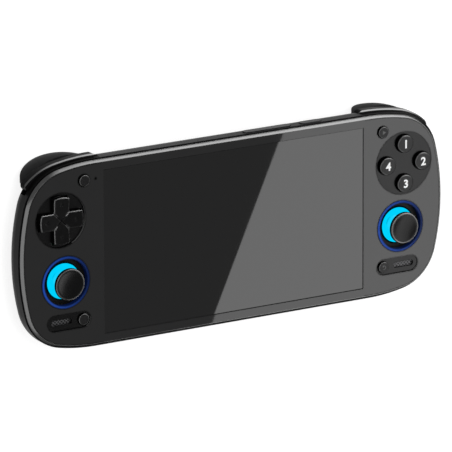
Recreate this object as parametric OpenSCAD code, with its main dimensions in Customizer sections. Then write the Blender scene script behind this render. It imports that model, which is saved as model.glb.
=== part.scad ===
// Handheld game console, lying on its back with the screen up.
// Working frame: x to the right hand, y to the shoulder edge, z out of the screen,
// with z = 0 on the faceplate. Depths are positive and run into the housing.

/* [Housing] */
// Overall width
body_w = 199; // [197:0.5:207]
// Overall height, shoulders not counted
body_h = 78.8; // [78:0.2:82]
// Radius of the bowed short sides
side_r = 94.9; // [90:0.1:97]
// Fall of the long edges before the corners start
crown_drop = 1.33; // [1.2:0.01:1.5]
// Radius of the four corners
corner_r = 20.2; // [18:0.1:21]
// Radius of the fall from the long edges into the corners
crown_r = 79.8; // [76:0.1:84]
// Depth of the straight part of the side walls
edge_flat = 5.4; // [5.2:0.1:5.8]
// Radius of the round back edge
edge_r = 8.7; // [8.5:0.1:9.5]
// Wall thickness
wall = 1.6; // [1.4:0.1:1.8]
// Depth of the joint between the front and rear shells
split_depth = 8.3; // [8.2:0.1:8.5]

/* [Grips] */
// Height of the grip swells over the back
grip_h = 10.1; // [9.8:0.1:11]
// Radius of a swell across its length
grip_r = 17; // [16:0.5:19]
// Radius of a swell along its length
grip_long_r = 40; // [36:1:44]
// Depth of the flat worn on the crest of a swell
grip_flat = 0.4; // [0.2:0.1:0.6]
// Distance of a swell's crest from the side
grip_in = 24.5; // [23:0.5:26]
// Height of a swell's middle on the back
grip_y = -4; // [-6:0.5:-2]

/* [Faceplate and trim] */
// Width of the rim between the outline and the faceplate
plate_inset = 1.6; // [1.4:0.1:2]
// Thickness of the faceplate
plate_t = 1; // [0.8:0.1:1.2]
// Thickness of the shell wall under the faceplate
front_t = 1.4; // [1.2:0.1:1.6]
// Distance of the trim ring's outer face from the outline
trim_inset = 0.5; // [0.4:0.05:0.8]
// Depth that the trim ring's bevel falls
trim_drop = 1.2; // [0.9:0.1:1.4]
// Height of the trim ring
trim_t = 1.8; // [1.6:0.1:2]
// Width of the trim ring's ledge under the faceplate
trim_ledge = 1.2; // [1:0.1:1.4]

/* [Display] */
// Width of the field of keys on either side of the picture area
wing_w = 38.6; // [38.3:0.1:41.5]
// Width of the border over and under the picture area
brow_w = 5.15; // [4.9:0.05:7]
// Depth of the glass below the faceplate
glass_sink = 0.45; // [0.3:0.05:0.6]
// Thickness of the glass
glass_t = 0.8; // [0.6:0.1:0.9]
// Border of the panel outside the glass
panel_border = 1; // [0.6:0.1:1.2]
// Thickness of the carrier plate behind the panel
carrier_t = 0.8; // [0.6:0.1:1]
// Overlap of the carrier plate on the shell beside the panel
carrier_lap = 1; // [0.8:0.1:1.1]

/* [Direction pad] */
// Distance of the pad's centre from the side
dpad_in = 18.6; // [18.2:0.1:19]
// Height of the pad's centre over the middle between the upper small button and the stick
dpad_up = 5.5; // [5.1:0.1:5.7]
// Diameter of the round well
dpad_well_d = 22.8; // [22.4:0.1:23.2]
// Depth of the well floor
dpad_well_sink = 0.9; // [0.7:0.05:1]
// Thickness of the well floor
dpad_well_t = 0.8; // [0.6:0.1:0.9]
// Span of the cross, tip to tip
dpad_span = 19.6; // [18.8:0.1:19.8]
// Width of each arm
dpad_arm = 6.8; // [6:0.1:7.2]
// Height of the arm tips over the face
dpad_h = 1.35; // [1:0.05:1.6]
// Fall of each arm towards the middle
dpad_dish = 0.55; // [0.3:0.05:0.7]
// Radius of the pivot ball
dpad_ball_r = 1.3; // [1.2:0.1:1.5]

/* [Face buttons] */
// Distance of the cluster's centre from the side
cluster_in = 19.1; // [18.8:0.1:19.4]
// Height of the cluster's centre over the middle between the upper small button and the stick
cluster_up = 6.1; // [5.9:0.1:6.3]
// Diameter of the cluster plate
cluster_d = 26.5; // [26.2:0.1:27]
// Distance of each button from the cluster's centre
cluster_pitch = 8.45; // [8.3:0.05:8.6]
// Diameter of a face button
button_d = 7.5; // [7.2:0.1:7.7]
// Height of a face button over the face
button_h = 1.8; // [1.4:0.1:2.2]
// Travel of a face button
button_travel = 0.9; // [0.6:0.1:1]

/* [Small buttons] */
// Diameter of the four small buttons
small_d = 4.7; // [4.4:0.1:4.9]
// Height of the upper small buttons over the face
small_h = 1; // [0.5:0.1:1.2]
// Travel of a small button
small_travel = 0.4; // [0.3:0.05:0.45]
// Distance of the upper small buttons from the side
small_in = 29.3; // [29:0.1:29.6]
// Distance of the upper small buttons from the shoulder edge
small_down = 8; // [7.8:0.1:8.2]
// Diameter of the microphone hole
mic_d = 0.9; // [0.7:0.1:1.2]
// Distance of the microphone hole from the side
mic_in = 34.8; // [34.6:0.1:35]

/* [Pill plates] */
// Distance of a pill plate's middle from the side
pill_in = 22; // [21.8:0.1:22.2]
// Height of a pill plate's middle on the face
pill_y = -26.7; // [-27:0.1:-26.5]
// Length of a pill plate
pill_l = 19.8; // [19.6:0.1:20.2]
// Width of a pill plate
pill_w = 6.6; // [6.5:0.1:7]
// Depth of a pill plate below the face
pill_sink = 0.5; // [0.3:0.05:0.6]
// Thickness of a pill plate
pill_t = 0.8; // [0.6:0.1:0.9]
// Height of a menu button over the face
menu_h = 0.5; // [0.1:0.05:0.6]
// Distance of a menu button from the pill's middle
menu_off = 6.7; // [6.5:0.05:6.8]
// Length of the speaker slot
slot_l = 9.5; // [8.5:0.1:9.8]
// Width of the speaker slot
slot_w = 2.4; // [2:0.1:2.6]
// Distance of the speaker slot from the pill's middle
slot_off = 3.2; // [3:0.05:3.4]

/* [Sticks] */
// Distance of a stick's centre from the side
stick_in = 20.7; // [20.4:0.1:21]
// Height of a stick's centre on the face
stick_y = -10; // [-10.2:0.1:-9.6]
// Outer diameter of the ring round the well
ring_d = 21.9; // [21.6:0.1:22.2]
// Width of that ring
ring_w = 1.2; // [1:0.1:1.3]
// Height of that ring over the face
ring_h = 0.15; // [0:0.05:0.3]
// Depth of the well floor
well_depth = 2.5; // [2.4:0.1:2.8]
// Thickness of the well floor
well_t = 1.2; // [1:0.1:1.4]
// Outer diameter of the light ring
glow_d = 15.9; // [15:0.1:16.5]
// Inner diameter of the light ring
glow_bore = 12.2; // [12.1:0.1:13]
// Height of the light ring over the well floor
glow_h = 0.3; // [0.1:0.05:0.4]
// Diameter of a stick cap
cap_d = 13.3; // [12.6:0.1:13.5]
// Height of a stick cap over the face
cap_h = 3.9; // [3.4:0.1:4.2]
// Depth of the dish in a stick cap
cap_dish = 0.7; // [0.4:0.05:0.9]
// Height of the cap's rim
cap_rim = 1.3; // [1.1:0.1:1.6]
// Depth of a stick's pivot below the face
pivot_depth = 7; // [6.8:0.1:7.2]
// Radius of the dome under a stick cap
dome_r = 5.9; // [5.7:0.05:5.9]
// Travel of a stick's click
click_travel = 0.5; // [0.3:0.05:0.5]
// Width of a stick module
module_w = 15.6; // [15.4:0.1:16]

/* [Shoulder keys] */
// Straight length of the shoulder keys before the outline falls away
shoulder_straight = 3.1; // [2.8:0.1:3.4]
// Depth where the bumpers start
bumper_front = 4.6; // [4.5:0.05:4.8]
// Depth where the bumpers end
bumper_rear = 8.9; // [8.7:0.05:9]
// Height of the bumpers over the outline
bumper_proud = 0.9; // [0.6:0.05:1]
// Thickness of the bumper bar below the outline
bumper_in = 3; // [2.6:0.1:3.1]
// Bevel on the front edge of a bumper
bumper_bevel = 0.9; // [0.5:0.05:1.1]
// Angle on the corner where a bumper ends
bumper_end = 42; // [41:0.5:44]
// Radius of the bumper's own corner, larger than the housing's, so that its end stands out
bumper_corner_r = 24.6; // [24:0.1:25]
// Radius on the ends of a bumper
bumper_end_r = 2.2; // [1.6:0.1:2.4]
// Depth where the triggers start
trigger_front = 9.5; // [9.4:0.05:9.7]
// Radius of a trigger, seen from above the screen
trigger_plan_r = 26; // [25.6:0.1:26.4]
// Distance of the centre of that radius from the keys' inner end
trigger_plan_in = 11.5; // [11.2:0.1:11.8]
// Distance of that centre from the shoulder edge
trigger_plan_down = 25.4; // [25:0.1:25.8]
// Radius that a trigger leans inwards with, towards its rear edge
trigger_lean_r = 40; // [36:1:44]
// Radius of a trigger's round rear edge
trigger_tongue_r = 15; // [14.4:0.1:15.2]
// Distance of the centre of that round from the keys' inner end
trigger_tongue_in = 16.2; // [15.9:0.1:16.4]
// Depth of that centre
trigger_tongue_depth = 8.5; // [8.2:0.1:8.6]
// Reach of a trigger into the housing
trigger_in = 9.4; // [9:0.1:9.5]
// Thickness of a trigger inside the housing
trigger_body = 8; // [7.6:0.1:8.2]
// Thickness of a trigger behind the housing
trigger_wall = 5.5; // [4.8:0.1:6]
// Gap between the trigger's lower end and the housing
trigger_end_gap = 0.6; // [0.5:0.1:0.8]
// Lean of the housing's face under that end, which leaves room for the pull
trigger_end_lean = 13; // [12:0.5:14]
// Angle on the corner where the room for the shoulder keys ends
shoulder_end = 28.5; // [28:0.5:29.5]
// Radius of the pivot pins of the shoulder keys
shoulder_pin_r = 1; // [0.9:0.05:1]

/* [Edge keys] */
// Distance of the volume rocker from the middle
volume_x = 17.4; // [17:0.1:18]
// Length of the volume rocker's slot
volume_l = 22.6; // [21:0.1:23]
// Distance of the power button from the middle
power_x = 38; // [37.6:0.1:38.6]
// Length of the power button's slot
power_l = 10.5; // [9.5:0.1:11]
// Width of both slots
edge_slot_w = 3.8; // [3.6:0.1:4]
// Depth of the middle of both slots
edge_slot_depth = 4.4; // [4.35:0.05:4.6]
// Height of both keys over the wall
edge_key_h = 0.3; // [0.1:0.05:0.5]

/* [Ports] */
// Depth of the middle of the ports
port_depth = 5.6; // [5.6:0.05:5.7]
// Width of the charging socket
usb_w = 8.9; // [8.9:0.05:9.2]
// Height of the charging socket
usb_h = 3.2; // [3.1:0.05:3.4]
// Length of the charging socket
usb_l = 7.4; // [7:0.1:7.8]
// Bore of the headphone socket
jack_d = 3.6; // [3.5:0.05:3.65]
// Wall of the headphone socket
jack_wall = 0.55; // [0.4:0.05:0.6]
// Length of the headphone socket
jack_l = 12; // [11:0.1:12.4]
// Distance of the headphone socket from the middle
jack_x = -30; // [-34:0.5:-26]
// Distance of the card slot from the middle
card_x = 27; // [24:0.5:32]
// Width of the card slot
card_w = 12; // [11.5:0.1:13]
// Length of the card socket
card_l = 12.5; // [11.5:0.1:12.8]
// Height of the card slot
card_h = 1.6; // [1.4:0.1:1.9]

/* [Inside] */
// Depth of the front of the key boards
board_depth = 5.8; // [5.7:0.05:5.9]
// Thickness of the circuit boards
board_t = 1; // [0.8:0.1:1]
// Distance of the battery's ends from the sides of the picture area
battery_side = 8.9; // [6:0.1:14]
// Distance of the battery from the end of the headphone socket
battery_gap = 2.9; // [2:0.1:5]
// Thickness of the battery
battery_t = 6.4; // [5:0.1:7]
// Width of the fan housing
fan_w = 30; // [26:0.5:31]
// Height of the fan on the back
fan_y = 14.6; // [14.2:0.1:15]
// Number of fan blades
fan_blades = 13; // [9:2:17]

/* [Fits] */
// Clearance of pieces that are glued or clamped in place
seat_gap = 0.05; // [0.02:0.01:0.08]
// Clearance of pins in their bores
pin_gap = 0.05; // [0.03:0.01:0.08]
// Clearance round keys in the faceplate
key_gap = 0.25; // [0.2:0.01:0.3]
// Clearance round the shoulder keys
shoulder_gap = 0.4; // [0.3:0.05:0.5]

/* [Hidden] */
$fn = 96;

function polar(r, a) = [r * cos(a), r * sin(a)];

// Centres of the arcs in the upper right quarter of the outline
half_w = body_w / 2;
half_h = body_h / 2;
side_c = [half_w - side_r, 0];
side_sweep = round(100 * asin((half_h - corner_r - crown_drop) / (side_r - corner_r))) / 100;
corner_c = side_c + polar(side_r - corner_r, side_sweep);
crown_a = asin((crown_r + corner_c.y - half_h) / (crown_r - corner_r));
crown_c = corner_c + polar(corner_r - crown_r, crown_a);
crown_core = crown_r - half_h;
lap = 0.05;
far = 60;

// Depths of the layers
back_depth = edge_flat + edge_r;
rest_depth = back_depth + grip_h;
front_in = plate_t + front_t;
back_in = back_depth - wall;
panel_front = glass_sink + glass_t;
carrier_back = front_in + carrier_t;
board_back = board_depth + board_t;
board_w = 35;
board_low = 34;
board_high = 27.5;
board_tab = 3.6;
main_top = carrier_back + 1;
sink_top = main_top + board_t + 1;
fan_top = sink_top + 1;
port_board_depth = port_depth + usb_h / 2;
flange_top = plate_t + 0.1;
flange_t = 0.7;

// Crown of the trim ring's slope: an arc from beside the faceplate's edge to the ring's outer face
trim_land = 0.15;
trim_run = plate_inset - trim_inset - trim_land;
trim_r = 5;
trim_chord = norm([trim_run, trim_drop]);
trim_rise = sqrt(pow(trim_r, 2) - pow(trim_chord / 2, 2)) / trim_chord;
trim_mid = -[trim_run, trim_drop] / 2 - trim_rise * [trim_drop, trim_run];

// Picture area, and what is fixed behind it
screen_w = body_w - 2 * wing_w;
screen_h = body_h - 2 * brow_w;
main_w = screen_w - 11.8;
main_h = screen_h / 2 - 2.25;
chip_w = 16;
battery_top = 1.5;
battery_l = screen_w - 2 * battery_side;
battery_w = half_h - battery_top - battery_gap - jack_l - 1;

// Places of the controls on the right half, and of the pad on the left half
small_y = half_h - small_down;
dpad_y = (small_y + stick_y) / 2 + dpad_up;
cluster_y = (small_y + stick_y) / 2 + cluster_up;
dpad_c = [dpad_in - half_w, dpad_y];
cluster_c = [half_w - cluster_in, cluster_y];
small_c = [half_w - small_in, small_y];
mic_c = [mic_in - half_w, small_y];
stick_c = [half_w - stick_in, stick_y];
pill_c = [half_w - pill_in, pill_y];
menu_c = pill_c - [menu_off, 0];
slot_c = pill_c + [slot_off, 0];
face_angles = [90, 0, 270, 180];

// Radii of the round controls
dpad_well_r = dpad_well_d / 2;
dpad_flange_r = dpad_well_r - 1.3;
dpad_pass_r = dpad_flange_r + 0.5;
dpad_flange_top = dpad_well_sink + dpad_well_t + 1.1;
dpad_flange_t = 0.8;
dpad_ball_depth = dpad_flange_top + dpad_flange_t + 0.8;
button_r = button_d / 2;
button_flange_r = button_r + 0.8;
small_r = small_d / 2;
small_flange_r = small_r + 0.6;
small_pass_r = small_flange_r + 0.2;
ring_r = ring_d / 2;
ring_bore = ring_r - ring_w;
well_back = well_depth + well_t;
glow_flange_r = glow_d / 2 + 1;
glow_flange_t = 0.8;
dome_wall = 0.8;
cap_edge = 0.5;
lever_r = 1.5;
gimbal_r = 4.5;
gimbal_bore = 2.9;
gimbal_t = 2;
trunnion_r = 0.9;
lever_pin_r = 0.8;
housing_top = pivot_depth - 1.6;
housing_back = pivot_depth + 3.4;
housing_bore = dome_r + 0.6;

// Shoulder keys: where they start, where they turn
shoulder_x = crown_c.x - shoulder_straight;
bumper_corner_c = crown_c + polar(crown_r - bumper_corner_r, crown_a);
bumper_pivot = [shoulder_x + 2.4, half_h - 6];
bumper_lug_r = shoulder_pin_r + 1.2;
bumper_lug_front = bumper_front + 0.3;
bumper_lug_t = 2;
trigger_pivot_y = half_h - 6.8;
trigger_pivot_depth = trigger_front - 0.3;
trigger_hub_r = shoulder_pin_r + 1;
trigger_x = shoulder_x + 5;
trigger_ear_t = 1.6;
trigger_ear_room = 2.6;
trigger_arm_t = 2.4;
trigger_arm_1 = trigger_x + trigger_ear_t + shoulder_gap;
trigger_arm_2 = trigger_arm_1 + trigger_arm_t + 1.6;
trigger_plan_c = [shoulder_x + trigger_plan_in, half_h - trigger_plan_down];
trigger_tongue_x = shoulder_x + trigger_tongue_in;
trigger_ear_2 = trigger_arm_2 + trigger_arm_t + shoulder_gap;

// Posts that join the shells, on the right half
post_in = [33.5, 33.7];
post_y = [21, -29.5];
posts = [for (i = [0, 1]) [half_w - post_in[i], post_y[i]]];
post_r = 2.4;
post_tip_r = 1.8;
screw_r = 0.9;
screw_head_r = 2.1;
screw_head_t = 1.1;

// The part stands on the crests of its grips, centred under its outline and shoulders
module place() translate([0, -bumper_proud / 2, rest_depth]) children();

module both_sides() {
    children();
    mirror([1, 0, 0]) children();
}

module on_side(left) mirror([left ? 1 : 0, 0, 0]) children();

// A flat layer between two depths
module layer(top, bottom) translate([0, 0, -bottom]) linear_extrude(bottom - top) children();

module disc(c, r, top, bottom) translate([c.x, c.y, -bottom]) cylinder(r = r, h = bottom - top);

module pill(l, w) {
    square([l - w, w], center = true);
    for (s = [-1, 1]) translate([s * (l - w) / 2, 0]) circle(d = w);
}

// A slice of a disc, from one angle to another, open towards its centre
module wedge(c, r, core, from, to) intersection() {
    translate(c) circle(r);
    polygon([
        c + polar(core, from), c + polar(2 * r, from),
        c + polar(2 * r, to), c + polar(core, to)
    ]);
}

// The outline of the console, drawn in by an inset
module outline(inset) {
    square([2 * crown_c.x, 2 * (half_h - inset)], center = true);
    for (sx = [0, 1]) mirror([sx, 0]) {
        wedge(side_c, side_r - inset, side_r / 4, -side_sweep, side_sweep);
        for (sy = [0, 1]) mirror([0, sy]) {
            translate(corner_c) circle(corner_r - inset);
            wedge(crown_c, crown_r - inset, crown_core, crown_a, 90 + lap);
        }
    }
}

// A half section carried round the outline: turned about each arc's centre and drawn along the straights.
// Its children read $reach, their distance from the axis to the outline less the inset.
module carried_round(inset) {
    for (sx = [0, 1]) mirror([sx, 0, 0]) {
        translate(side_c) rotate_extrude(start = -side_sweep, angle = 2 * side_sweep)
            let ($reach = side_r - inset) children();
        for (sy = [0, 1]) mirror([0, sy, 0]) {
            translate(corner_c) rotate_extrude()
                let ($reach = corner_r - inset) children();
            translate(crown_c) rotate_extrude(start = crown_a, angle = 90 + lap - crown_a) difference() {
                let ($reach = crown_r - inset) children();
                translate([0, -far]) square([crown_core, 2 * far]);
            }
        }
    }
    translate([-crown_c.x, 0, 0]) rotate([90, 0, 90]) linear_extrude(2 * crown_c.x)
        for (s = [0, 1]) mirror([s, 0]) let ($reach = half_h - inset) children();
}

// The housing as a solid between two depths, drawn in by an inset: straight wall, then the round back edge
module pillow(inset, top, bottom) carried_round(inset) {
    round_r = edge_r - inset;
    back = back_depth - inset;
    intersection() {
        union() {
            translate([0, -edge_flat]) square([$reach, edge_flat]);
            translate([0, -back]) square([$reach - round_r, back]);
            translate([$reach - round_r, -edge_flat]) circle(round_r);
        }
        translate([0, -bottom]) square([$reach + 1, bottom - top]);
    }
}

// A profile carried along the upper right shoulder, from the straight edge to an angle on the corner.
// The profile's first axis points out of the outline, its second axis out of the screen.
module shoulder_sweep(start_x, end_a) {
    translate([start_x, half_h, 0]) rotate([90, 0, 90]) linear_extrude(crown_c.x - start_x) children();
    translate(crown_c) rotate_extrude(start = crown_a, angle = 90 + lap - crown_a)
        translate([crown_r, 0]) children();
    translate(bumper_corner_c) rotate_extrude(start = end_a, angle = crown_a + lap - end_a)
        translate([bumper_corner_r, 0]) children();
}

// Sector of the plane over the right shoulder, from the straight edge to an angle on the corner
module shoulder_sector(start_x, end_a) polygon([
    [start_x, 0], [start_x, far], [corner_c.x, far],
    corner_c + polar(far, (end_a + 90) / 2), corner_c + polar(far, end_a), corner_c
]);

// Room that the bumper and the trigger of the right shoulder need in the shells
module shoulder_room() {
    start = shoulder_x - shoulder_gap;
    layer(bumper_front - shoulder_gap, trigger_front - 0.3) difference() {
        shoulder_sector(start, shoulder_end);
        outline(bumper_in + shoulder_gap);
    }
    intersection() {
        layer(trigger_front - 0.3, rest_depth + 1) difference() {
            shoulder_sector(start, shoulder_end);
            outline(trigger_in + 2);
        }
        translate([start - 1, half_h - trigger_in - trigger_end_gap, -trigger_front]) rotate([-trigger_end_lean, 0, 0])
            translate([0, 0, -far]) cube([far, far, 2 * far]);
    }
}

module front_shell() color("#2b2c2e") place() difference() {
    union() {
        difference() {
            pillow(0, trim_t, split_depth);
            pillow(wall, front_in, split_depth + 1);
        }
        layer(plate_t, front_in) outline(plate_inset + trim_ledge + seat_gap);
        both_sides() {
            disc(stick_c, ring_r + wall, plate_t, well_back);
            for (p = posts) {
                disc(p, post_r, plate_t, board_depth);
                disc(p, post_tip_r, plate_t, split_depth);
            }
            disc(bumper_pivot, shoulder_pin_r + 1, plate_t, bumper_lug_front - 0.1);
            for (x = [trigger_x, trigger_ear_2])
                translate([x, trigger_pivot_y - trigger_hub_r, -trigger_pivot_depth - trigger_hub_r])
                    cube([trigger_ear_t, 2 * trigger_hub_r, trigger_pivot_depth + trigger_hub_r - plate_t]);
        }
    }
    display_cut();
    disc(dpad_c, dpad_well_r + seat_gap, 0, dpad_well_sink + dpad_well_t);
    disc(dpad_c, dpad_pass_r, 0, front_in + 1);
    for (a = face_angles) disc(cluster_c + polar(cluster_pitch, a), button_flange_r + 0.3, 0, front_in + 1);
    disc(mic_c, mic_d / 2, 0, front_in + 1);
    both_sides() {
        disc(small_c, small_pass_r, 0, front_in);
        disc(stick_c, ring_r + seat_gap, 0, trim_t);
        disc(stick_c, ring_bore, 0, well_depth);
        disc(stick_c, glow_d / 2 + seat_gap, 0, well_back + 1);
        layer(0, pill_sink + pill_t) translate(pill_c) pill(pill_l + 2 * seat_gap, pill_w + 2 * seat_gap);
        disc(menu_c, small_pass_r, 0, front_in + 1);
        layer(0, front_in + 1) translate(slot_c) pill(slot_l + 0.6, slot_w + 0.6);
        for (p = posts) disc(p, screw_r + pin_gap, front_in + 1, split_depth + 1);
        disc(bumper_pivot, shoulder_pin_r + pin_gap, front_in, bumper_front + 1);
        translate([trigger_x - 1, trigger_pivot_y, -trigger_pivot_depth]) rotate([0, 90, 0])
            cylinder(r = shoulder_pin_r + pin_gap, h = trigger_ear_2 + trigger_ear_t + 2 - trigger_x);
        shoulder_room();
    }
    edge_slot(volume_x, volume_l);
    edge_slot(power_x, power_l);
    port_cut(0) pill(usb_w + 2 * seat_gap, usb_h + 2 * seat_gap);
    port_cut(jack_x) circle(d = jack_d + 2 * (jack_wall + seat_gap));
    port_cut(card_x) square([card_w, card_h], center = true);
}

// Window for the display panel in the shell wall under the faceplate
module display_cut() layer(0, front_in + 0.5)
    square([screen_w, screen_h] + 2 * (panel_border + seat_gap) * [1, 1], center = true);

// Round ended slot through the shoulder edge wall
module edge_slot(x, l) translate([x, half_h + 1, -edge_slot_depth]) rotate([90, 0, 0])
    linear_extrude(wall + 1.5) pill(l, edge_slot_w);

// A port's shape cut through the lower edge wall
module port_cut(x) translate([x, wall + 0.5 - half_h, -port_depth]) rotate([90, 0, 0])
    linear_extrude(wall + 2) children();

// Swell on the back for the fingers: a spindle lying along y, flat on its crest
module grip() intersection() {
    translate([half_w - grip_in, grip_y, grip_r - rest_depth - grip_flat]) rotate([90, 0, 0])
        rotate_extrude() intersection() {
            translate([grip_r - grip_long_r, 0]) circle(grip_long_r, $fn = 360);
            translate([0, -far]) square([grip_r, 2 * far]);
        }
    translate([half_w - grip_in, grip_y, -rest_depth]) translate([-far / 2, -far, 0])
        cube([far, 2 * far, grip_h + wall / 2]);
}

module rear_shell() color("#242527") place() difference() {
    union() {
        difference() {
            pillow(0, split_depth, back_depth);
            pillow(wall, split_depth - 1, back_in);
        }
        both_sides() {
            grip();
            for (p = posts) disc(p, post_r, split_depth, back_in + 0.1);
        }
    }
    both_sides() {
        shoulder_room();
        for (p = posts) {
            disc(p, screw_r + 0.2, split_depth - 1, rest_depth);
            disc(p, screw_head_r + 0.2, back_depth - screw_head_t - 0.2, rest_depth);
        }
    }
    for (i = [-4:4]) layer(back_in - 1, rest_depth)
        translate([0, fan_y + 3 * i]) pill(2 * sqrt(pow(fan_w / 2, 2) - pow(3 * i, 2)) - 2, 1.2);
    for (i = [-5:5]) translate([3 * i - 0.6, half_h - edge_r + 1, 2.2 - back_depth])
        cube([1.2, edge_r, 3]);
}

// Bright ring between the faceplate and the housing: a sloping face with a slight crown,
// and a ledge that carries the faceplate
module bezel_trim() color("#b9bcc0") place() difference() {
    carried_round(trim_inset) intersection() {
        union() {
            translate([0, -trim_t]) square([$reach + trim_mid.x, trim_t]);
            translate([$reach + trim_mid.x, trim_mid.y]) circle(trim_r);
        }
        translate([0, -trim_t]) square([$reach, trim_t]);
    }
    layer(-1, plate_t) outline(plate_inset);
    layer(plate_t - 0.2, trim_t + 1) outline(plate_inset + trim_ledge);
}

module faceplate() color("#28292b") place() layer(0, plate_t) difference() {
    outline(plate_inset + seat_gap);
    square([screen_w, screen_h] + 2 * key_gap * [1, 1], center = true);
    translate(dpad_c) circle(dpad_well_r + seat_gap);
    translate(cluster_c) circle(cluster_d / 2 + seat_gap);
    translate(mic_c) circle(mic_d / 2);
    for (sx = [0, 1]) mirror([sx, 0]) {
        translate(small_c) circle(small_r + key_gap);
        translate(stick_c) circle(ring_r + seat_gap);
        translate(pill_c) pill(pill_l + 2 * seat_gap, pill_w + 2 * seat_gap);
    }
}

module display_glass() color("#26272a") place() layer(glass_sink, panel_front)
    square([screen_w, screen_h], center = true);

module display_panel() color("#1a1b1e") place() layer(panel_front, front_in)
    square([screen_w, screen_h] + 2 * panel_border * [1, 1], center = true);

// Plate behind the panel that the battery and the main board are fixed to
module carrier_plate() color("#9a9da1") place() {
    layer(front_in, carrier_back)
        square([screen_w + 2 * (panel_border + carrier_lap), screen_h - 8], center = true);
    for (s = [-1, 1], y = [4, main_h - 5]) disc([s * (main_w / 2 - 9), y], 2, carrier_back, main_top);
}

module cross(span, arm) {
    square([span, arm], center = true);
    square([arm, span], center = true);
}

module dpad_well() color("#1d1e20") place()
    layer(dpad_well_sink, dpad_well_sink + dpad_well_t) translate(dpad_c) difference() {
        circle(dpad_well_r);
        cross(dpad_span + 2 * key_gap, dpad_arm + 2 * key_gap);
    }

// Cross key: four sloping arms, grooved where they meet, on a round flange with a ball socket
module dpad() color("#232426") place() translate(dpad_c) difference() {
    union() {
        intersection() {
            union() for (a = [0, 90, 180, 270]) rotate(a) dpad_arm_solid();
            disc([0, 0], dpad_span / 2, -dpad_h - 1, dpad_flange_top + 0.2);
        }
        disc([0, 0], dpad_flange_r, dpad_flange_top, dpad_flange_top + dpad_flange_t);
        disc([0, 0], dpad_ball_r + 1.2, dpad_flange_top, dpad_ball_depth);
    }
    for (a = [45, 135]) translate([0, 0, dpad_h]) rotate(a)
        cube([dpad_arm * 1.6, 0.35, 2 * (dpad_dish + 0.35)], center = true);
    translate([0, 0, -dpad_ball_depth]) sphere(dpad_ball_r + pin_gap);
}

module dpad_arm_solid() difference() {
    translate([0, -dpad_arm / 2, -dpad_flange_top - 0.1])
        cube([dpad_span / 2, dpad_arm, dpad_flange_top + 0.1 + dpad_h]);
    translate([dpad_span / 2, 0, dpad_h]) rotate([0, -atan(dpad_dish / (dpad_span / 2)), 0])
        translate([-far, -far / 2, 0]) cube([2 * far, far, far]);
    translate([dpad_span / 2 - 3, 0, dpad_h - dpad_dish * 6 / dpad_span - 0.15])
        cylinder(r = 1.1, h = 1, $fn = 3);
}

module dpad_ball() color("#c9cccf") place() translate([dpad_c.x, dpad_c.y, -dpad_ball_depth])
    sphere(dpad_ball_r);

// Rubber mat with one dome under each direction
module dpad_membrane() color("#6f7276") place() difference() {
    union() {
        disc(dpad_c, dpad_flange_r, board_depth - 0.6, board_depth);
        for (a = face_angles) disc(dpad_c + polar(dpad_span / 2 - 3, a), 2.2, dpad_ball_depth, board_depth);
    }
    disc(dpad_c, dpad_ball_r + 1.6, 0, board_depth + 1);
}

module cluster_plate() color("#1f2022") place() layer(0, plate_t) translate(cluster_c) difference() {
    circle(cluster_d / 2);
    for (a = face_angles) translate(polar(cluster_pitch, a)) circle(button_r + key_gap);
}

module cluster_membrane() color("#6f7276") place() {
    disc(cluster_c, cluster_d / 2 - 1, board_depth - 0.6, board_depth);
    for (a = face_angles) disc(cluster_c + polar(cluster_pitch, a), 2.4, board_depth - 1.5, board_depth);
}

// Round key with a soft top edge, a flange under the plate and a stem towards its switch
module round_key(r, h, flange_r, flange_from, stem_r, stem_to, edge) rotate_extrude() {
    translate([0, -flange_from - flange_t]) square([r, h + flange_from + flange_t - edge]);
    square([r - edge, h]);
    intersection() {
        translate([r - edge, h - edge]) circle(edge);
        square([r, h]);
    }
    translate([0, -flange_from - flange_t]) square([flange_r, flange_t]);
    translate([0, -stem_to]) square([stem_r, stem_to]);
}

module face_button(i) color("#2a2b2d") place() translate(cluster_c + polar(cluster_pitch, face_angles[i]))
    round_key(button_r, button_h, button_flange_r, flange_top, 2.2, board_depth - 1.6 - button_travel, 0.6);

module face_button_top() face_button(0);
module face_button_right() face_button(1);
module face_button_bottom() face_button(2);
module face_button_left() face_button(3);

module small_button(c, h, flange_from) color("#2a2b2d") place() translate(c)
    round_key(small_r, h, small_flange_r, flange_from, 1.2, board_depth - 0.6 - small_travel, 0.3);

module select_button() small_button([-small_c.x, small_c.y], small_h, flange_top);
module start_button() small_button(small_c, small_h, flange_top);
module menu_button_left() small_button([-menu_c.x, menu_c.y], menu_h, pill_sink + pill_t + 0.1);
module menu_button_right() small_button(menu_c, menu_h, pill_sink + pill_t + 0.1);

module pill_plate(left) color("#1f2022") place() on_side(left)
    layer(pill_sink, pill_sink + pill_t) difference() {
        translate(pill_c) pill(pill_l, pill_w);
        translate(menu_c) circle(small_r + key_gap);
        translate(slot_c) pill(slot_l, slot_w);
    }

module pill_plate_left() pill_plate(true);
module pill_plate_right() pill_plate(false);

// Perforated strips behind the speaker slots
module speaker_meshes() color("#3a3b3d") place() both_sides()
    layer(pill_sink + pill_t, front_in) translate(slot_c) pill(slot_l + 0.5, slot_w + 0.5);

module speaker(left) color("#4a4b4e") place() on_side(left) difference() {
    layer(front_in, board_depth - 0.2) translate(slot_c) square([13.6, 8], center = true);
    layer(0, front_in + 0.8) translate(slot_c) pill(slot_l, slot_w + 2);
}

module speaker_left() speaker(true);
module speaker_right() speaker(false);

module stick_ring(left) color("#1f4fb4") place() on_side(left) difference() {
    disc(stick_c, ring_r, -ring_h, trim_t);
    disc(stick_c, ring_bore, -1, trim_t + 1);
}

module stick_ring_left() stick_ring(true);
module stick_ring_right() stick_ring(false);

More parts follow.
